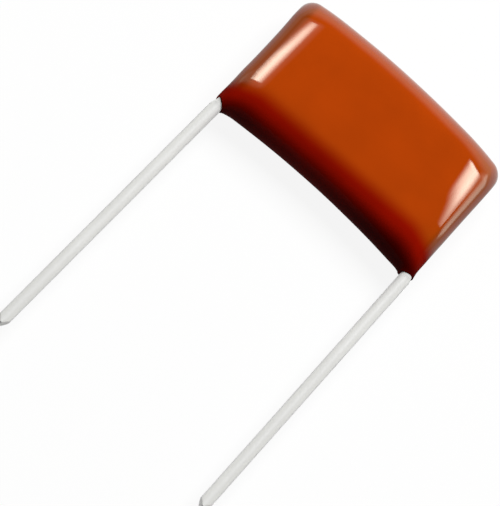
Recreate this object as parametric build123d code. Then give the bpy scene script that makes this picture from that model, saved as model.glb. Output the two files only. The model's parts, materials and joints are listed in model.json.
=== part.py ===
from build123d import *
import os
from math import asin, cos, degrees, pi, radians, sin, sqrt

# A dipped film capacitor with radial leads, lying on its flat back face. X runs across the leads, the
# leads point along -Y, and Z is the body's thickness. The origin is on the back face, below the middle
# of the winding. All sizes are in millimetres.

# Leads
lead_pitch = 15.0        # between the wire axes where they leave the coating
wire_diameter = 0.8
lead_length = 20.0       # from the coating's corner to the cut tip
lean_left = 1.9          # degrees that each lead leans outward
lean_right = 0.2
chisel_length = 0.5      # wedge that the cutter leaves on the tip
chisel_edge = 0.1        # width left at the wedge's edge
tail_thickness = 0.4     # the wire's inner end, pressed flat
tail_stop = 1.0          # from the tail's end to the winding's far side
tail_bed = 0.1           # depth that the tail sinks into the sprayed metal

# Winding, pressed flat, with sprayed metal on both ends
winding_height = 7.6
winding_thickness = 3.0
core_gap = 0.1           # slit left by the winding spindle after pressing
spray_thickness = 0.4
spray_round = 0.25

# Coating
face_coat = 0.5          # over the flat faces
lead_side_coat = 0.5     # at mid width, on the lead side
far_side_coat = 1.1      # at mid width, where the dipped coating gathers
end_coat = 0.3           # over the tails, at both ends
side_bow = 0.45          # how far the middle of the long sides stands away from the leads
end_round = 1.1          # edge radius round both ends
collar_length = 0.35     # coating drawn out along the wire, past the corner
collar_lip = 0.04        # thickness of that coating where it ends
collar_run = 1.7         # from that lip to the collar's root inside the body
collar_width = 2.4       # across the root, along X
collar_face_cover = 0.5  # coating between the root and the flat faces
collar_end_cover = 0.1   # coating between the root and the body's end
collar_curve = 1.3       # above 1, the collar leaves the wire more gently
collar_steps = 4         # sections that shape the collar

# Sizes that follow
wire_radius = wire_diameter / 2
wire_x = lead_pitch / 2
tail_inner_x = wire_x - wire_radius
tail_outer_x = tail_inner_x + tail_thickness
spray_face_x = tail_inner_x + tail_bed
winding_end_x = spray_face_x - spray_thickness
half_width = tail_outer_x + end_coat
mid_z = face_coat + winding_thickness / 2
body_thickness = 2 * mid_z
body_height = winding_height + lead_side_coat + far_side_coat
body_y = (far_side_coat - lead_side_coat) / 2
# The long sides are arcs about one centre, far out on the lead side.
bow_radius = (half_width**2 + side_bow**2) / (2 * side_bow)
bow_y = body_y - bow_radius
corner_y = bow_y + sqrt((bow_radius - body_height / 2) ** 2 - wire_x**2)
collar_end_y = corner_y - collar_length
# Pressing keeps the wire's section area, so the flat tail is wider than the wire.
tail_width = tail_thickness + pi * (wire_diameter**2 - tail_thickness**2) / (4 * tail_thickness)


def across(centre_x, centre_y):
    """Plane across a lead at mid thickness. It looks along -Y, and its x runs along +X."""
    return Plane((centre_x, centre_y, mid_z), x_dir=(1, 0, 0), z_dir=(0, -1, 0))


def flat_roll(start_x, length):
    """Bar along X with the section of a roll pressed flat."""
    section = Plane.YZ.offset(start_x) * Pos(0, mid_z) * SlotOverall(winding_height, winding_thickness)
    return extrude(section, length)


def make_winding():
    """All turns of the roll, with the slit that lies between the two bends."""
    roll = flat_roll(-winding_end_x, 2 * winding_end_x)
    slit = Box(2 * winding_end_x, winding_height - winding_thickness, core_gap)
    return roll - Pos(0, 0, mid_z) * slit


def make_lead(lean):
    """Right-hand lead: flat tail, run-out to the round wire, and the wire to its chisel tip."""
    tail_start_y = -winding_height / 2
    tail_length = winding_height - tail_stop
    tail_x = tail_inner_x + tail_thickness / 2
    tail_section = across(tail_x, tail_start_y) * Rot(0, 0, 90) * SlotOverall(tail_width, tail_thickness)
    tail = extrude(tail_section, -tail_length)
    leaning = across(wire_x, collar_end_y) * Rot(0, lean, 0)
    wire_section = leaning * Circle(wire_radius)
    run_out = loft([tail_section.face(), wire_section.face()])
    wire_run = (lead_length - collar_length) / cos(radians(lean))
    wire = extrude(wire_section, wire_run)
    waste = Polyline(
        (chisel_edge / 2, 0),
        (wire_radius, -chisel_length),
        (wire_diameter, -chisel_length),
        (wire_diameter, 0),
        close=True,
    )
    tip = leaning * Pos(0, 0, wire_run) * Rot(90, 0, 0)
    cutter = extrude(make_face(waste), wire_diameter, both=True)
    return tail + run_out + wire - tip * cutter - tip * mirror(cutter, Plane.YZ)


def make_spray(lead):
    """Right-hand sprayed end, rounded where the spray thins out, with the bed of the lead's tail."""
    cap = flat_roll(winding_end_x, spray_thickness)
    rim = cap.edges().filter_by_position(Axis.X, spray_face_x, spray_face_x)
    return fillet(rim, spray_round) - lead


def make_body():
    """Outside of the dipped body: a bent bar of flat-roll section, cut off square and rounded."""
    section = Plane.YZ * Pos(body_y, mid_z) * SlotOverall(body_height, body_thickness)
    reach = 2 * degrees(asin(half_width / (bow_radius - body_height / 2)))
    bow_axis = Axis((0, bow_y, 0), (0, 0, 1))
    bar = revolve(section, bow_axis, 2 * reach).rotate(bow_axis, -reach)
    width = Box(2 * half_width, 2 * bow_radius, 2 * body_thickness)
    body = bar & width
    ends = body.edges().filter_by_position(Axis.X, half_width, half_width)
    ends += body.edges().filter_by_position(Axis.X, -half_width, -half_width)
    return fillet(ends, end_round)


def make_collar():
    """Coating drawn out along the right-hand lead, from a round lip to deep in the body's corner."""
    lip = wire_radius + collar_lip
    lip_x = wire_x + lip
    root_x = half_width - collar_end_cover
    sections = []
    for step in range(collar_steps + 1):
        depth = step / collar_steps
        swell = sin(radians(90 * depth)) ** collar_curve
        half_x = lip + (collar_width / 2 - lip) * swell
        half_z = lip + (mid_z - collar_face_cover - lip) * swell
        centre_x = lip_x + (root_x - lip_x) * swell - half_x
        section = across(centre_x, collar_end_y + depth * collar_run) * Ellipse(half_x, half_z)
        sections.append(section.face())
    return loft(sections)


def make_coating(inside):
    """Dipped shell round everything that lies inside it, with one lead leaving at each corner."""
    collar = make_collar()
    outside = make_body() + collar + mirror(collar, Plane.YZ)
    roll = flat_roll(-winding_end_x, 2 * winding_end_x)
    return outside - roll - inside


parts = {"film_winding": make_winding()}
for side, lean in (("left", lean_left), ("right", lean_right)):
    lead = make_lead(lean)
    spray = make_spray(lead)
    if side == "left":
        lead = mirror(lead, Plane.YZ)
        spray = mirror(spray, Plane.YZ)
    parts["lead_" + side] = lead
    parts["end_spray_" + side] = spray
ends = [solid for name, solid in parts.items() if name != "film_winding"]
parts["epoxy_coating"] = make_coating(ends)

os.makedirs("parts", exist_ok=True)
for name, solid in parts.items():
    export_step(solid, f"parts/{name}.step")
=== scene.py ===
import json
import math

import bpy
import numpy as np
from mathutils import Matrix, Vector


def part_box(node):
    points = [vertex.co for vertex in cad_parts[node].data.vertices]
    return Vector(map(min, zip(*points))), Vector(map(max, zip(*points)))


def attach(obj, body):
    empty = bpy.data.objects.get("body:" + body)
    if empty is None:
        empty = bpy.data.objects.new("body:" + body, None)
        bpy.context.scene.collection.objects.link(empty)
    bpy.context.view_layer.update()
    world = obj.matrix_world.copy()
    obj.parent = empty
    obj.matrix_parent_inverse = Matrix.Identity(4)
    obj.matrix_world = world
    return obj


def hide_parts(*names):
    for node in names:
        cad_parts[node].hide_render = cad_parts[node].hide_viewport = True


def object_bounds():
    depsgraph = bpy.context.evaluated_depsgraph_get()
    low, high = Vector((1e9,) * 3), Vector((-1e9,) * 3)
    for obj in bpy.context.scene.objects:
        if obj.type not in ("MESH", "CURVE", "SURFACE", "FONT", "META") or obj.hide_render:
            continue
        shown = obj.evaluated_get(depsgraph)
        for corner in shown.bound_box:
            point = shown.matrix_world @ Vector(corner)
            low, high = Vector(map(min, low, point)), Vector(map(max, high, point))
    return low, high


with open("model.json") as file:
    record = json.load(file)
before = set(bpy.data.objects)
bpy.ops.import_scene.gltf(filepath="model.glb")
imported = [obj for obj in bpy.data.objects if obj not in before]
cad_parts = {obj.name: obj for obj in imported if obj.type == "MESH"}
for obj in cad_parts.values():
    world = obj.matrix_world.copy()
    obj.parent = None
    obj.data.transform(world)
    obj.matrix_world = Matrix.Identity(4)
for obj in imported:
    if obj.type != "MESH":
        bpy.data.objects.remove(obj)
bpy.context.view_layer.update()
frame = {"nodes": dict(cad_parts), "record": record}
print("frame loaded:", ", ".join(sorted(frame["nodes"])))

# A dipped film capacitor lying on its back face. Shapes are worked out in millimetres and turned into
# metres as they go into a mesh. X runs across the leads, -Y along them, and Z through the thickness.
metresPerMm = 0.001
mounts = {mount["name"]: mount for mount in frame["record"]["mounts"]}


def nodeBox(node):
    # lowest and highest corner of a CAD node, in millimetres
    low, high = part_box(node)
    return np.array(low) / metresPerMm, np.array(high) / metresPerMm


def ringFaces(rows, columns):
    # Quads between neighbouring rings, and a fan at each end. The middles of the fans are two more points,
    # which follow the points of the rings.
    index = np.arange(rows * columns).reshape(rows, columns)
    beside = np.roll(index, -1, axis=1)
    quads = np.stack([index[:-1], beside[:-1], beside[1:], index[1:]], axis=-1).reshape(-1, 4)
    firstMiddle = np.full(columns, rows * columns)
    fans = np.concatenate([
        np.stack([firstMiddle, beside[0], index[0]], axis=-1),
        np.stack([firstMiddle + 1, index[-1], beside[-1]], axis=-1),
    ])
    return quads, fans


def sixVolumes(points, quads, fans):
    # six times the volume inside the faces, positive where they face outward: the sum of the triple
    # products of their triangles' corners
    a, b, c, d = (points[quads[:, corner]] for corner in range(4))
    e, f, g = (points[fans[:, corner]] for corner in range(3))
    triangles = ((a, b, c), (a, c, d), (e, f, g))
    return sum(np.einsum("ij,ij->", p, np.cross(q, r)) for p, q, r in triangles)


def ringsToPiece(name, rings, slotName, *nodes):
    # rings is rows x columns x 3: each row closes on itself, and a point in the middle of the first and
    # of the last row closes the two ends
    middles = np.stack([rings[0].mean(axis=0), rings[-1].mean(axis=0)])
    points = np.concatenate([rings.reshape(-1, 3), middles]) * metresPerMm
    quads, fans = ringFaces(*rings.shape[:2])
    if sixVolumes(points, quads, fans) < 0:
        quads, fans = quads[:, ::-1], fans[:, ::-1]
    corners = np.concatenate([quads.ravel(), fans.ravel()])
    sizes = np.concatenate([np.full(len(quads), 4), np.full(len(fans), 3)])
    mesh = bpy.data.meshes.new(name)
    mesh.vertices.add(len(points))
    mesh.vertices.foreach_set("co", points.astype(np.float32).ravel())
    mesh.loops.add(len(corners))
    mesh.loops.foreach_set("vertex_index", corners.astype(np.int32))
    mesh.polygons.add(len(sizes))
    mesh.polygons.foreach_set("loop_start", (np.cumsum(sizes) - sizes).astype(np.int32))
    mesh.update(calc_edges=True)
    mesh.validate()
    mesh.shade_smooth()
    piece = bpy.data.objects.new(name, mesh)
    bpy.context.scene.collection.objects.link(piece)
    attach(piece, "root")
    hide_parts(*nodes)
    return piece


# Leads
lead = {
    "tailThick": 0.4,    # the flat tail, bedded in the sprayed end
    "tailWide": 1.3425,
    "tailX": 7.3,
    "tailFrom": 2.8,     # y of its two ends
    "tailTo": -3.8,
    "tailSquare": 3,     # how quickly its section passes from one round edge to the other
    "inset": 0.001,      # how far the tip stops short of the CAD wire's
    "cutLength": 0.5,    # chisel tip left by the cutter
    "cutEdge": 0.1,
    "cutStart": 1.01,    # half width at which the cuts begin, in wire radii
    "ripple": 0.004,     # uneven tin on the wire, in wire radii
    "ripples": ((1.7, 2, 1), (4.3, -1, 0), (9.1, 3, 0)),  # radians per mm, turns around, phase by side
    "wireFrom": 0.1,     # first ring of the wire's own, past its start
    "tailRings": 12,
    "runOutRings": 15,
    "wireRings": 220,
    "cutRings": 9,
    "around": 64,        # points in a ring
}


def leadRings(mount):
    # A profile carried along a path: a slot (flat tail) that turns into a circle (round wire). The slot is
    # a circle whose halves are moved apart along Z. The circle shrinks a little by the mean of a few sine
    # waves, and at the tip its x is held inside two planes that close in on the chisel edge.
    side = 1 if mount["pos_m"][0] > 0 else -1
    radius = mount["dims"]["r_mm"]
    start = np.array(mount["pos_m"]) / metresPerMm
    axis = np.array(mount["axis"])
    length = mount["dims"]["length_mm"] - lead["inset"]
    angle = np.linspace(0, 2 * np.pi, lead["around"], endpoint=False)
    circle = np.stack([np.cos(angle), np.zeros_like(angle), np.sin(angle)], axis=-1) * radius
    tailRound = lead["tailThick"] / 2
    apart = (lead["tailWide"] - lead["tailThick"]) / 2
    slot = np.stack([
        tailRound * np.cos(angle),
        np.zeros_like(angle),
        tailRound * np.sin(angle) + apart * np.clip(lead["tailSquare"] * np.sin(angle), -1, 1),
    ], axis=-1)

    tailY = np.linspace(lead["tailFrom"], lead["tailTo"], lead["tailRings"])
    tail = np.array([side * lead["tailX"], 0, start[2]]) + np.array([0, 1, 0]) * tailY[:, None]
    share = np.linspace(0, 1, lead["runOutRings"] + 1)[1:, None]
    runOut = tail[-1] + (start - tail[-1]) * share
    cutFrom = length - lead["cutLength"]
    along = np.concatenate([
        np.linspace(lead["wireFrom"], cutFrom, lead["wireRings"]),
        np.linspace(cutFrom, length, lead["cutRings"] + 1)[1:],
    ])
    wire = start + axis * along[:, None]

    ripple = sum(np.sin(perMm * along[:, None] + turns * angle + phase * side)
                 for perMm, turns, phase in lead["ripples"]) / len(lead["ripples"])
    tinned = circle * (1 - lead["ripple"] / 2 * (1 - ripple[..., None]))
    uncut = np.clip((length - along) / lead["cutLength"], 0, 1)
    halfCut = lead["cutEdge"] / 2 + (radius * lead["cutStart"] - lead["cutEdge"] / 2) * uncut
    tinned[..., 0] = np.clip(tinned[..., 0], -halfCut[:, None], halfCut[:, None])
    lean = np.stack([np.array([-axis[1], axis[0], 0]) / np.hypot(axis[0], axis[1]), axis, [0, 0, 1]])
    return np.concatenate([
        tail[:, None] + slot,
        runOut[:, None] + slot * (1 - share[..., None]) + circle * share[..., None],
        wire[:, None] + tinned @ lean,
    ])


leads = [
    ringsToPiece("leadLeft", leadRings(mounts["lead_left"]), "tinned_wire", "lead_left"),
    ringsToPiece("leadRight", leadRings(mounts["lead_right"]), "tinned_wire", "lead_right"),
]
print("leads made")

# Epoxy coating. A pair is for its left and its right end.
skin = {
    "height": 9.225,              # along Y, at mid width
    "thick": 3.998,
    "inset": 0.001,               # how far the far side stops short of the CAD body's
    "bow": 0.45,                  # how far the long sides curve
    "fill": (1.0, 2.7),           # how much of the bow the round of the lead side fills
    "swell": (0.2, 0.26),         # and how much it swells beyond that
    "endX": (7.798, 7.80),        # how far the coating reaches at each end
    "waist": (0.05, 0.0),         # how far the ends draw in at half height
    "edgeFace": (0.65, 0.8),      # edge radius between the faces and the ends
    "edgeCorner": (0.8, 0.9),     # and round the corners of the outline
    "edgeGrowth": 1.5,            # how soon it grows to that: above 1, before the outline
    "dome": 0.012,                # curvature of the faces from the lead side to the far side
    "crown": (0.22, 0.15),        # curvature of the faces where they fall off towards the ends
    "crownFrom": (5.64, 4.88),    # where that starts
    "crownDrift": (-0.2, -0.49),  # how much further out it starts on the far side than at half height
    "lipX": (7.49, 7.50),         # middle of the drawn-out coating where it ends on each wire
    "lipRadius": 0.43,
    "lipInside": (-5.0, -4.86),   # y of the coating's edge on the wire's inner side
    "lipSlant": (37.0, 11.0),     # degrees by which that edge climbs towards the outside
    "lipRound": 0.03,
    "rootCover": (0.32, 0.32),    # how far the drawn-out corner stays inside the end
    "drawn": 1.7,                 # how deep it reaches
    "drawnPast": 0.6,             # how far it goes on from there at its full size
    "drawnWide": (0.6, 0.45),     # how much it widens on the way, along X
    "drawnThick": (0.8, 0.8),     # and along Z
    "drawnCurve": 1.3,            # above 1, it leaves the wire more gently
    "blend": 0.5,                 # how softly it runs into the body
    "wave": 0.006,                # unevenness left by the dip
    "waves": ((0.9, 1.3, 0, 0.4), (1.7, -0.8, 1.1, 2.0), (0.6, -1.9, -0.7, 4.4)),  # radians per mm, phase
    "pivotX": 6.3,                # the rings turn about two points just outside the lead side
    "lipTurn": 14,                # degrees that they turn close to the lip
    "fineTurn": 76,               # direction from which they turn in finer steps
    "turnRings": (21, 43, 33),    # rings up to each of these two, and from there to straight ahead
    "straightRings": 72,
    "around": 288,                # points in a ring
    "probe": 12,                  # length of the lines that find the coating in the mid plane
    "probeSteps": 1200,
    "rayReach": 2.5,              # length of the rays, in sizes of the ellipse that they spread over
    "halvings": 34,
    "lipRings": 5,
    "tuckSize": 0.7,              # the ring inside the wire: its size, and its drop in lip rounds
    "tuckDrop": 0.9,
}
coatLow, coatHigh = nodeBox("epoxy_coating")
wireX = mounts["lead_right"]["pos_m"][0] / metresPerMm
halfThick = skin["thick"] / 2
midZ = (coatHigh[2] + coatLow[2]) / 2
halfHigh = skin["height"] / 2
midY = coatHigh[1] - skin["inset"] - halfHigh
bowRadius = (wireX**2 + skin["bow"] ** 2) / (2 * skin["bow"])


def eachEnd(x, pair):
    # the left or the right value of a pair
    return np.where(x < 0, pair[0], pair[1])


def bodyDepth(x, y, z):
    # Distance outside the body, roughly, in mm: a bar with full round long sides, bent along a shallow
    # arc. Its faces are slightly domed, and fall off towards the ends by a parabola. The bar and its
    # flat ends meet in a round edge, whose radius grows from the faces to the corners of the outline.
    bend = x**2 / (2 * bowRadius)
    bentY = y - midY + bend
    sag = np.where(bentY < 0, bend, 0)
    deep = halfThick + eachEnd(x, skin["fill"]) * sag
    flat = halfHigh - deep + eachEnd(x, skin["swell"]) * sag
    reach = np.abs(bentY)
    crownFrom = eachEnd(x, skin["crownFrom"]) + eachEnd(x, skin["crownDrift"]) * bentY / halfHigh
    fall = eachEnd(x, skin["crown"]) / 2 * np.maximum(np.abs(x) - crownFrom, 0) ** 2
    dome = skin["dome"] * np.where(reach < flat, reach**2 / 2, flat * (reach - flat / 2))
    thick = halfThick - fall - dome
    across = np.maximum(reach - flat, 0) * halfThick / deep
    beyondSide = np.hypot(across, (z - midZ) * halfThick / thick) - halfThick
    waist = eachEnd(x, skin["waist"]) * np.clip(1 - (bentY / flat) ** 2, 0, 1)
    beyondEnd = np.abs(x) - eachEnd(x, skin["endX"]) + waist
    corner = np.clip((reach - flat) / (halfHigh - flat) * skin["edgeGrowth"], 0, 1)
    edge = eachEnd(x, skin["edgeFace"])
    edge = edge + (eachEnd(x, skin["edgeCorner"]) - edge) * corner
    side, end = beyondSide + edge, beyondEnd + edge
    return np.hypot(np.maximum(side, 0), np.maximum(end, 0)) + np.minimum(np.maximum(side, end), 0) - edge


def collarDepth(x, y, z):
    # Distance outside the coating that is drawn out along a wire: an elliptic tube. It starts as a round
    # lip, and swells as a power of a sine while it goes into the corner.
    lipY = eachEnd(x, skin["lipInside"])
    depth = np.clip((y - lipY) / skin["drawn"], 0, 1)
    swell = np.sin(depth * np.pi / 2) ** skin["drawnCurve"]
    halfX = skin["lipRadius"] + eachEnd(x, skin["drawnWide"]) * swell
    halfZ = skin["lipRadius"] + eachEnd(x, skin["drawnThick"]) * swell
    lipOuter = eachEnd(x, skin["lipX"]) + skin["lipRadius"]
    rootOuter = eachEnd(x, skin["endX"]) - eachEnd(x, skin["rootCover"])
    outerX = lipOuter * (1 - swell) + rootOuter * swell
    reach = np.sqrt(((np.abs(x) - outerX + halfX) / halfX) ** 2 + ((z - midZ) / halfZ) ** 2)
    tube = (reach - 1) * np.minimum(halfX, halfZ)
    return np.maximum(tube, y - (lipY + skin["drawn"] + skin["drawnPast"]))


def coatDepth(x, y, z):
    # Both together with a soft join, which is a parabola between them, and the mean of a few long waves.
    body, collar = bodyDepth(x, y, z), collarDepth(x, y, z)
    share = np.clip(0.5 + 0.5 * (body - collar) / skin["blend"], 0, 1)
    joined = body + (collar - body) * share - skin["blend"] * share * (1 - share)
    wave = sum(np.sin(a * x + b * y + c * z + phase) for a, b, c, phase in skin["waves"])
    return joined + skin["wave"] * (1 + wave / len(skin["waves"]))


def fanPlanes():
    # One half plane for each ring: a start point and a direction. They turn about the left pivot from the
    # slanted lip, step across the body and turn back about the right pivot.
    origins, directions = [], []
    for side, end in ((-1, 0), (1, 1)):
        slant = skin["lipSlant"][end]
        inner = skin["lipX"][end] - skin["lipRadius"]
        pivotY = skin["lipInside"][end] - (inner - skin["pivotX"]) * math.tan(math.radians(slant))
        stops = (slant, slant + skin["lipTurn"], skin["fineTurn"], 90)
        turn = np.radians(np.concatenate([
            np.linspace(start, stop, rings, endpoint=False)
            for start, stop, rings in zip(stops, stops[1:], skin["turnRings"])
        ]))
        origins.append(np.array([side * skin["pivotX"], pivotY, midZ]) + np.zeros((len(turn), 3)))
        directions.append(np.stack([side * np.cos(turn), np.sin(turn), np.zeros(len(turn))], axis=-1))
    share = np.linspace(0, 1, skin["straightRings"])[:, None]
    straight = origins[0][0] * (1 - share) + origins[1][0] * share
    ahead = np.array([0, 1.0, 0]) + np.zeros((len(share), 3))
    return (np.concatenate([origins[0], straight, origins[1][::-1]]),
            np.concatenate([directions[0], ahead, directions[1][::-1]]))


def midPlaneCrossings(origins, directions):
    # How far along its direction each half plane's middle line enters and leaves the coating: at the first
    # and the last sample inside, moved to where the straight line to the sample outside crosses zero.
    step = np.linspace(0, skin["probe"], skin["probeSteps"] + 1)
    line = origins[:, None] + directions[:, None] * step[:, None]
    value = coatDepth(line[..., 0], line[..., 1], line[..., 2])
    inside = value < 0
    first = inside.argmax(axis=1)
    last = len(step) - 1 - inside[:, ::-1].argmax(axis=1)
    row = np.arange(len(origins))
    near = step[first] - (step[1] * value[row, first]) / (value[row, first] - value[row, first - 1])
    far = step[last] - (step[1] * value[row, last]) / (value[row, last + 1] - value[row, last])
    near[0], near[-1] = step[first[0]], step[first[-1]]
    return near, far


def coatRings():
    # Each ring is where its half plane cuts the coating. Rays start in the middle of the cut, spread over
    # an ellipse of the cut's size, and are halved down to the skin.
    origins, directions = fanPlanes()
    near, far = midPlaneCrossings(origins, directions)
    middle = origins + directions * ((near + far) / 2)[:, None]
    half = (far - near) / 2
    angle = np.linspace(0, 2 * np.pi, skin["around"], endpoint=False)
    ahead = half[:, None] * np.cos(angle)
    upward = np.minimum(half, halfThick)[:, None] * np.sin(angle)
    rays = directions[:, None] * ahead[..., None] + np.array([0, 0, 1.0]) * upward[..., None]
    short, long = np.zeros(rays.shape[:2]), np.full(rays.shape[:2], skin["rayReach"])
    for halving in range(skin["halvings"]):
        guess = (short + long) / 2
        p = middle[:, None] + rays * guess[..., None]
        out = coatDepth(p[..., 0], p[..., 1], p[..., 2]) > 0
        long = np.where(out, guess, long)
        short = np.where(out, short, guess)
    rings = middle[:, None] + rays * long[..., None]
    return np.concatenate([lipRings(rings[0])[::-1], rings, lipRings(rings[-1])])


def lipRings(edge):
    # a quarter round that turns the coating's edge in towards the wire, and one ring inside the wire
    centre = edge.mean(axis=0)
    radius = np.linalg.norm(edge - centre, axis=1).mean()
    turn = np.linspace(0, np.pi / 2, skin["lipRings"] + 1)[1:]
    shrink = np.append(1 - skin["lipRound"] * (1 - np.cos(turn)) / radius, skin["tuckSize"])
    drop = skin["lipRound"] * np.append(np.sin(turn), skin["tuckDrop"])
    rings = centre + (edge - centre) * shrink[:, None, None]
    rings[..., 1] -= drop[:, None]
    return rings


epoxy = ringsToPiece("epoxySkin", coatRings(), "dipped_epoxy", "epoxy_coating")
print("epoxy coating made:", len(epoxy.data.polygons), "faces")


# Materials. Colours are linear, and sizes are in millimetres.
def newMaterial(name):
    material = bpy.data.materials.new(name)
    material.use_nodes = True
    tree = material.node_tree
    return material, tree, tree.nodes["Principled BSDF"]


def coordinatesOf(tree, name):
    return tree.nodes.new("ShaderNodeTexCoord").outputs[name]


def splitAxes(tree, vector):
    split = tree.nodes.new("ShaderNodeSeparateXYZ")
    tree.links.new(vector, split.inputs["Vector"])
    return split.outputs["X"], split.outputs["Y"], split.outputs["Z"]


def inMetres(span):
    return tuple(value * metresPerMm for value in span)


def mapRange(tree, value, fromSpan, toSpan):
    node = tree.nodes.new("ShaderNodeMapRange")
    node.interpolation_type = "SMOOTHSTEP"
    for name, number in zip(("From Min", "From Max", "To Min", "To Max"), (*fromSpan, *toSpan)):
        node.inputs[name].default_value = number
    tree.links.new(value, node.inputs["Value"])
    return node.outputs["Result"]


def calculate(tree, operation, first, second=0.0):
    # first and second are numbers or sockets
    node = tree.nodes.new("ShaderNodeMath")
    node.operation = operation
    for value, socket in ((first, node.inputs[0]), (second, node.inputs[1])):
        if isinstance(value, (int, float)):
            socket.default_value = value
        else:
            tree.links.new(value, socket)
    return node.outputs["Value"]


def mixColours(tree, factor, first, second, blend="MIX"):
    # first and second are colours or sockets
    mix = tree.nodes.new("ShaderNodeMix")
    mix.data_type = "RGBA"
    mix.blend_type = blend
    if isinstance(factor, float):
        mix.inputs["Factor"].default_value = factor
    else:
        tree.links.new(factor, mix.inputs["Factor"])
    for colour, socket in ((first, mix.inputs[6]), (second, mix.inputs[7])):
        if isinstance(colour, tuple):
            socket.default_value = (*colour, 1)
        else:
            tree.links.new(colour, socket)
    return mix.outputs[2]


noiseSpan = (0.3, 0.7)  # the noise seldom leaves it


def mottleGroup():
    # noise of a given size in mm, stretched along an axis, as a mask between two values
    group = bpy.data.node_groups.new("mottle", "ShaderNodeTree")
    sockets = group.interface
    sockets.new_socket("Vector", in_out="INPUT", socket_type="NodeSocketVector")
    for name, value in (("Size", 1.0), ("Detail", 3.0), ("Low", 0.0), ("High", 1.0)):
        sockets.new_socket(name, in_out="INPUT", socket_type="NodeSocketFloat").default_value = value
    stretch = sockets.new_socket("Stretch", in_out="INPUT", socket_type="NodeSocketVector")
    stretch.default_value = (1, 1, 1)
    sockets.new_socket("Mask", in_out="OUTPUT", socket_type="NodeSocketFloat")
    nodes, links = group.nodes, group.links
    given, put = nodes.new("NodeGroupInput"), nodes.new("NodeGroupOutput")
    stretched = nodes.new("ShaderNodeVectorMath")
    stretched.operation = "MULTIPLY"
    links.new(given.outputs["Vector"], stretched.inputs[0])
    links.new(given.outputs["Stretch"], stretched.inputs[1])
    noise = nodes.new("ShaderNodeTexNoise")
    links.new(stretched.outputs["Vector"], noise.inputs["Vector"])
    links.new(calculate(group, "DIVIDE", 1 / metresPerMm, given.outputs["Size"]), noise.inputs["Scale"])
    links.new(given.outputs["Detail"], noise.inputs["Detail"])
    spread = nodes.new("ShaderNodeMapRange")
    spread.inputs["From Min"].default_value, spread.inputs["From Max"].default_value = noiseSpan
    links.new(noise.outputs["Fac"], spread.inputs["Value"])
    links.new(given.outputs["Low"], spread.inputs["To Min"])
    links.new(given.outputs["High"], spread.inputs["To Max"])
    links.new(spread.outputs["Result"], put.inputs["Mask"])
    return group


mottle = mottleGroup()


def addMottle(tree, coordinates, size, span=(0.0, 1.0), detail=3.0, stretch=(1, 1, 1)):
    node = tree.nodes.new("ShaderNodeGroup")
    node.node_tree = mottle
    tree.links.new(coordinates, node.inputs["Vector"])
    node.inputs["Size"].default_value = size
    node.inputs["Detail"].default_value = detail
    node.inputs["Low"].default_value, node.inputs["High"].default_value = span
    node.inputs["Stretch"].default_value = stretch
    return node.outputs["Mask"]


def addBump(tree, height, shader, distance):
    bump = tree.nodes.new("ShaderNodeBump")
    bump.inputs["Distance"].default_value = distance * metresPerMm
    tree.links.new(height, bump.inputs["Height"])
    tree.links.new(bump.outputs["Normal"], shader.inputs["Normal"])


epoxyLook = {
    "orange": (0.455, 0.052, 0.001),
    "rimBrown": (0.36, 0.062, 0.001),
    "rimFrom": (3.93, 3.2),      # z from which, and down to which, the sides turn browner
    "endBrown": (0.27, 0.042, 0.001),
    "endFrom": ((-6.75, -7.2), (6.9, 7.5)),  # x of the same at the left and the right end
    # the lead side's colour: the resin's deeper red with painted shade in it
    "deepRedAndShade": (0.33, 0.006, 0.0005),
    "leadSide": (-2.45, -3.5),   # y from which, and to which, the coat turns deep red at mid width: partly the resin's own deeper red, partly painted shade of the side turned from the lamp
    # painted shade: near black where the lead side turns away from the lamp
    "darkRedShade": (0.07, 0.001, 0.0002),
    "leadEdge": (-3.6, -4.6),    # and dark red, which is painted shade, near black at the lead edge
    "leadTilt": 0.03,            # how far these limits of the painted shade climb towards the right, per mm
    "endsFrom": (5.6, 7.6),      # and x from which, and to which, they drop at both ends
    "endsDrop": 0.4,
    "cloudSize": 3.0,            # paler and darker places
    "cloudTint": (0.94, 1.05),
    "roughSize": 1.2,
    "roughness": (0.35, 0.45),   # of the pigmented resin below
    "specular": 0.0,
    "gloss": (1.0, 0.03),        # of the clear resin at the surface: everywhere else, and on the lead side
    "glossRoughness": 0.0,       # mirror-sharp, so that the soft boxes show in it
    "glossIor": 1.5,
}


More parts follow.
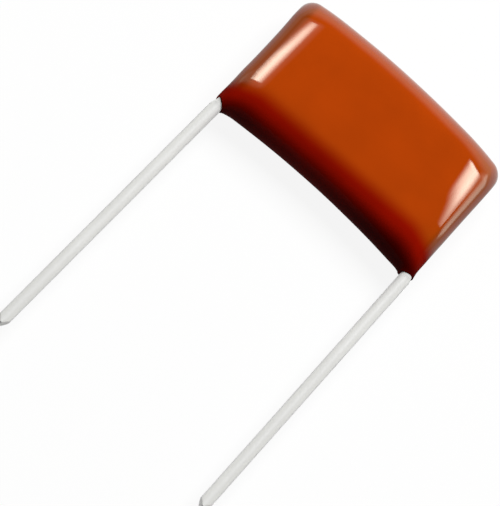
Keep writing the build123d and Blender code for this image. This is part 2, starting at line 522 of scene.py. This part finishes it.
def epoxyMaterial():
    # orange on the faces, browner round the sides and the ends, and on the lead side a deeper red with
    # painted shade in it, down to dark red painted shade at its edge
    material, tree, shader = newMaterial("dippedEpoxy")
    coordinates = coordinatesOf(tree, "Object")
    x, y, z = splitAxes(tree, coordinates)
    climb = calculate(tree, "MULTIPLY", x, epoxyLook["leadTilt"])
    outward = calculate(tree, "ABSOLUTE", x)
    drop = mapRange(tree, outward, inMetres(epoxyLook["endsFrom"]), inMetres((0, epoxyLook["endsDrop"])))
    height = calculate(tree, "ADD", calculate(tree, "SUBTRACT", y, climb), drop)
    leftFrom, rightFrom = epoxyLook["endFrom"]
    colour = epoxyLook["orange"]
    for name, place, limits in (
        ("rimBrown", z, epoxyLook["rimFrom"]),
        ("endBrown", x, leftFrom),
        ("endBrown", x, rightFrom),
        # the last two paint the lead side's shade into the colour
        ("deepRedAndShade", height, epoxyLook["leadSide"]),
        ("darkRedShade", height, epoxyLook["leadEdge"]),
    ):
        share = mapRange(tree, place, inMetres(limits), (0, 1))
        colour = mixColours(tree, share, colour, epoxyLook[name])
    clouds = addMottle(tree, coordinates, epoxyLook["cloudSize"], epoxyLook["cloudTint"])
    tree.links.new(mixColours(tree, 1.0, colour, clouds, "MULTIPLY"), shader.inputs["Base Color"])
    rough = addMottle(tree, coordinates, epoxyLook["roughSize"], epoxyLook["roughness"])
    tree.links.new(rough, shader.inputs["Roughness"])
    shader.inputs["Specular IOR Level"].default_value = epoxyLook["specular"]
    gloss = mapRange(tree, height, inMetres(epoxyLook["leadSide"]), epoxyLook["gloss"])
    tree.links.new(gloss, shader.inputs["Coat Weight"])
    shader.inputs["Coat Roughness"].default_value = epoxyLook["glossRoughness"]
    shader.inputs["Coat IOR"].default_value = epoxyLook["glossIor"]
    return material


wireLook = {
    "tin": (0.97, 0.97, 0.96),
    "dull": (0.93, 0.93, 0.92),
    "dullSize": 0.7,
    "dullStretch": (1, 0.25, 1),
    "metallic": 0.18,
    "roughness": (0.42, 0.5),
    "roughSize": 0.35,
    "roughStretch": (1, 0.3, 1),
}


def wireMaterial():
    # tinned wire, a little duller in patches that are drawn out along it
    material, tree, shader = newMaterial("tinnedWire")
    coordinates = coordinatesOf(tree, "Object")
    patches = addMottle(tree, coordinates, wireLook["dullSize"], stretch=wireLook["dullStretch"])
    colour = mixColours(tree, patches, wireLook["tin"], wireLook["dull"])
    tree.links.new(colour, shader.inputs["Base Color"])
    rough = addMottle(tree, coordinates, wireLook["roughSize"], wireLook["roughness"],
                      stretch=wireLook["roughStretch"])
    tree.links.new(rough, shader.inputs["Roughness"])
    shader.inputs["Metallic"].default_value = wireLook["metallic"]
    return material


filmLook = {
    "bright": (0.66, 0.67, 0.70),
    "dark": (0.48, 0.49, 0.52),
    "turnSize": 0.08,
    "turnStretch": (0.02, 0.4, 1),
    "metallic": 0.7,
    "roughness": 0.32,
    "relief": 0.004,
}


def filmMaterial():
    # metallised film on edge: fine turns through the thickness
    material, tree, shader = newMaterial("metallisedFilm")
    coordinates = coordinatesOf(tree, "Object")
    turns = addMottle(tree, coordinates, filmLook["turnSize"], stretch=filmLook["turnStretch"])
    colour = mixColours(tree, turns, filmLook["bright"], filmLook["dark"])
    tree.links.new(colour, shader.inputs["Base Color"])
    shader.inputs["Metallic"].default_value = filmLook["metallic"]
    shader.inputs["Roughness"].default_value = filmLook["roughness"]
    addBump(tree, turns, shader, filmLook["relief"])
    return material


sprayLook = {
    "dark": (0.30, 0.31, 0.32),
    "bright": (0.56, 0.57, 0.58),
    "grainSize": 0.12,
    "grainDetail": 5.0,
    "metallic": 0.9,
    "roughness": 0.62,
    "relief": 0.03,
}


def sprayMaterial():
    # sprayed zinc: coarse dull grains
    material, tree, shader = newMaterial("sprayedMetal")
    coordinates = coordinatesOf(tree, "Object")
    grains = addMottle(tree, coordinates, sprayLook["grainSize"], detail=sprayLook["grainDetail"])
    colour = mixColours(tree, grains, sprayLook["dark"], sprayLook["bright"])
    tree.links.new(colour, shader.inputs["Base Color"])
    shader.inputs["Metallic"].default_value = sprayLook["metallic"]
    shader.inputs["Roughness"].default_value = sprayLook["roughness"]
    addBump(tree, grains, shader, sprayLook["relief"])
    return material


epoxy.data.materials.append(epoxyMaterial())
wireMetal = wireMaterial()
for piece in leads:
    piece.data.materials.append(wireMetal)
sprayMetal = sprayMaterial()
cadLooks = {"film_winding": filmMaterial(), "end_spray_left": sprayMetal, "end_spray_right": sprayMetal}
for node, material in cadLooks.items():
    for materialSlot in frame["nodes"][node].material_slots:
        materialSlot.material = material
print("materials made")

# Camera, above the lead side and looking down on the front face
camera = {
    "tilt": 26.0,                 # from the face's normal towards the leads
    "roll": 42.35,
    "distance": 430.0,
    "lens": 524.0,
    "sensor": 36.0,
    "lookAt": (-0.215, -10.565),  # x and y, at the height of the wires
    "clip": (0.01, 20.0),         # in metres
}


def makeCamera():
    tilt, roll = math.radians(camera["tilt"]), math.radians(camera["roll"])
    away = Vector((0, -math.sin(tilt), math.cos(tilt)))
    upFace = Vector((0, math.cos(tilt), math.sin(tilt)))
    across = Vector((1, 0, 0))
    right = across * math.cos(roll) + upFace * math.sin(roll)
    up = upFace * math.cos(roll) - across * math.sin(roll)
    lens = bpy.data.cameras.new("camera")
    lens.lens = camera["lens"]
    lens.sensor_width = camera["sensor"]
    lens.clip_start, lens.clip_end = camera["clip"]
    cameraObject = bpy.data.objects.new("camera", lens)
    target = Vector((*camera["lookAt"], midZ)) * metresPerMm
    place = target + away * camera["distance"] * metresPerMm
    cameraObject.matrix_world = Matrix.Translation(place) @ Matrix((right, up, away)).transposed().to_4x4()
    bpy.context.scene.collection.objects.link(cameraObject)
    bpy.context.scene.camera = cameraObject


# The key lamp. Angles are in degrees and the distance in metres: far is from the vertical towards +Y, and
# wide is how large the lamp looks from the object. The gloss shows the studio's soft boxes in its place.
key = {"far": 25.0, "wide": 34.0, "distance": 0.3, "radiance": 10.3}


def makeKeyLamp():
    lamp = bpy.data.lights.new("key", "AREA")
    lamp.shape = "SQUARE"
    lamp.size = 2 * key["distance"] * math.tan(math.radians(key["wide"] / 2))
    lamp.energy = key["radiance"] * math.pi * lamp.size**2
    lampObject = bpy.data.objects.new("key", lamp)
    far = math.radians(key["far"])
    lampObject.location = (0, key["distance"] * math.sin(far), key["distance"] * math.cos(far))
    lampObject.rotation_euler = (-far, 0, 0)
    lampObject.visible_glossy = False
    bpy.context.scene.collection.objects.link(lampObject)


# The studio's walls. A fade goes from one part of a direction to another, where 1 is straight along it.
studio = {
    "ambient": 0.035,               # light on the object from all sides
    "ceiling": 0.035,               # the dark part of the studio, overhead and behind the camera
    "ceilingFade": (0.2, 0.62),     # up, along Z
    "cameraFade": (-0.5, 0.1),      # away from the camera, along Y
    "flanks": 0.8,                  # the walls to the left and the right
    "flanksFade": (0.5, 0.85),      # sideways, along X
    "wallTint": (1.0, 1.0, 0.78),
    "boxTint": (1.0, 0.98, 0.81),
}
# Soft boxes that only mirror-sharp gloss shows, because duller metal would sparkle under them. Their
# ranges are directions in degrees: side from the YZ plane towards +X, and far from the vertical towards
# +Y. They fade over a few degrees.
softBoxes = (
    {"side": (-28.5, -19.2), "far": (9.5, 34.3), "fade": (5.0, 3.2), "strength": 18.5},
    {"side": (-80.0, -11.0), "far": (-5.0, 40.0), "fade": (4.0, 8.0), "strength": 0.8},
    {"side": (18.3, 30.0), "far": (34.2, 42.3), "fade": (3.0, 3.5), "strength": 18.0},
    {"side": (32.0, 62.0), "far": (44.0, 70.0), "fade": (5.0, 8.0), "strength": 3.8},
)


def seenOrMirrored(tree):
    # 1 for what the camera, a mirror or glass sees
    path = tree.nodes.new("ShaderNodeLightPath")
    seen = calculate(tree, "MAXIMUM", path.outputs["Is Camera Ray"], path.outputs["Is Glossy Ray"])
    return calculate(tree, "MAXIMUM", seen, path.outputs["Is Transmission Ray"])


def within(tree, value, span, fade):
    # 1 for a value in radians that lies in the span in degrees, with soft limits
    low, high = np.radians(span)
    fade = math.radians(fade)
    above = mapRange(tree, value, (low - fade, low + fade), (0, 1))
    below = mapRange(tree, value, (high - fade, high + fade), (1, 0))
    return calculate(tree, "MULTIPLY", above, below)


def wallStrength(tree, x, y, z):
    walls = mapRange(tree, z, studio["ceilingFade"], (1, studio["ceiling"]))
    lit = mapRange(tree, y, studio["cameraFade"], (studio["ceiling"], 1))
    flanks = mapRange(tree, calculate(tree, "ABSOLUTE", x), studio["flanksFade"], (1, studio["flanks"]))
    return calculate(tree, "MULTIPLY", walls, calculate(tree, "MULTIPLY", lit, flanks))


def boxStrength(tree, x, y, z):
    sideAngle = calculate(tree, "ARCSINE", x)
    farAngle = calculate(tree, "ARCTAN2", y, z)
    total = 0
    for box in softBoxes:
        sideFade, farFade = box["fade"]
        inSide = within(tree, sideAngle, box["side"], sideFade)
        inFar = within(tree, farAngle, box["far"], farFade)
        lit = calculate(tree, "MULTIPLY", calculate(tree, "MULTIPLY", inSide, inFar), box["strength"])
        total = calculate(tree, "ADD", total, lit)
    return total


def makeWorld():
    world = bpy.data.worlds.new("studio")
    world.use_nodes = True
    tree = world.node_tree
    x, y, z = splitAxes(tree, coordinatesOf(tree, "Generated"))
    walls = tree.nodes["Background"]
    walls.inputs["Color"].default_value = (*studio["wallTint"], 1)
    mask = seenOrMirrored(tree)
    plain = mapRange(tree, mask, (0, 1), (studio["ambient"], 0))
    seen = calculate(tree, "MULTIPLY", mask, wallStrength(tree, x, y, z))
    tree.links.new(calculate(tree, "ADD", plain, seen), walls.inputs["Strength"])
    boxes = tree.nodes.new("ShaderNodeBackground")
    boxes.inputs["Color"].default_value = (*studio["boxTint"], 1)
    sharp = tree.nodes.new("ShaderNodeLightPath").outputs["Is Singular Ray"]
    mirrored = calculate(tree, "MULTIPLY", sharp, boxStrength(tree, x, y, z))
    tree.links.new(mirrored, boxes.inputs["Strength"])
    both = tree.nodes.new("ShaderNodeAddShader")
    tree.links.new(walls.outputs["Background"], both.inputs[0])
    tree.links.new(boxes.outputs["Background"], both.inputs[1])
    tree.links.new(both.outputs["Shader"], tree.nodes["World Output"].inputs["Surface"])
    bpy.context.scene.world = world


# Floor, in metres
floorLook = {
    "size": 6.0,
    "gap": 0.00001,          # between the object and the floor
    "colour": (0.45, 0.95),  # for the light that it throws back, and where it is seen or mirrored
    "white": 0.9,            # share of plain white there, which leaves some room for the shadow
    "roughness": 0.9,
}


def floorMaterial():
    material, tree, shader = newMaterial("paleFloor")
    mask = seenOrMirrored(tree)
    tree.links.new(mapRange(tree, mask, (0, 1), floorLook["colour"]), shader.inputs["Base Color"])
    shader.inputs["Roughness"].default_value = floorLook["roughness"]
    shader.inputs["Specular IOR Level"].default_value = 0.0
    plainWhite = tree.nodes.new("ShaderNodeEmission")
    blended = tree.nodes.new("ShaderNodeMixShader")
    tree.links.new(calculate(tree, "MULTIPLY", mask, floorLook["white"]), blended.inputs["Fac"])
    tree.links.new(shader.outputs["BSDF"], blended.inputs[1])
    tree.links.new(plainWhite.outputs["Emission"], blended.inputs[2])
    tree.links.new(blended.outputs["Shader"], tree.nodes["Material Output"].inputs["Surface"])
    return material


def makeFloor():
    half = floorLook["size"] / 2
    corners = [(-half, -half, 0), (half, -half, 0), (half, half, 0), (-half, half, 0)]
    mesh = bpy.data.meshes.new("floor")
    mesh.from_pydata(corners, [], [(0, 1, 2, 3)])
    mesh.materials.append(floorMaterial())
    floor = bpy.data.objects.new("floor", mesh)
    floor.location.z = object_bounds()[0].z - floorLook["gap"]
    bpy.context.scene.collection.objects.link(floor)


makeCamera()
makeKeyLamp()
makeWorld()
makeFloor()
bpy.context.scene.view_settings.view_transform = "Standard"
print("studio made")
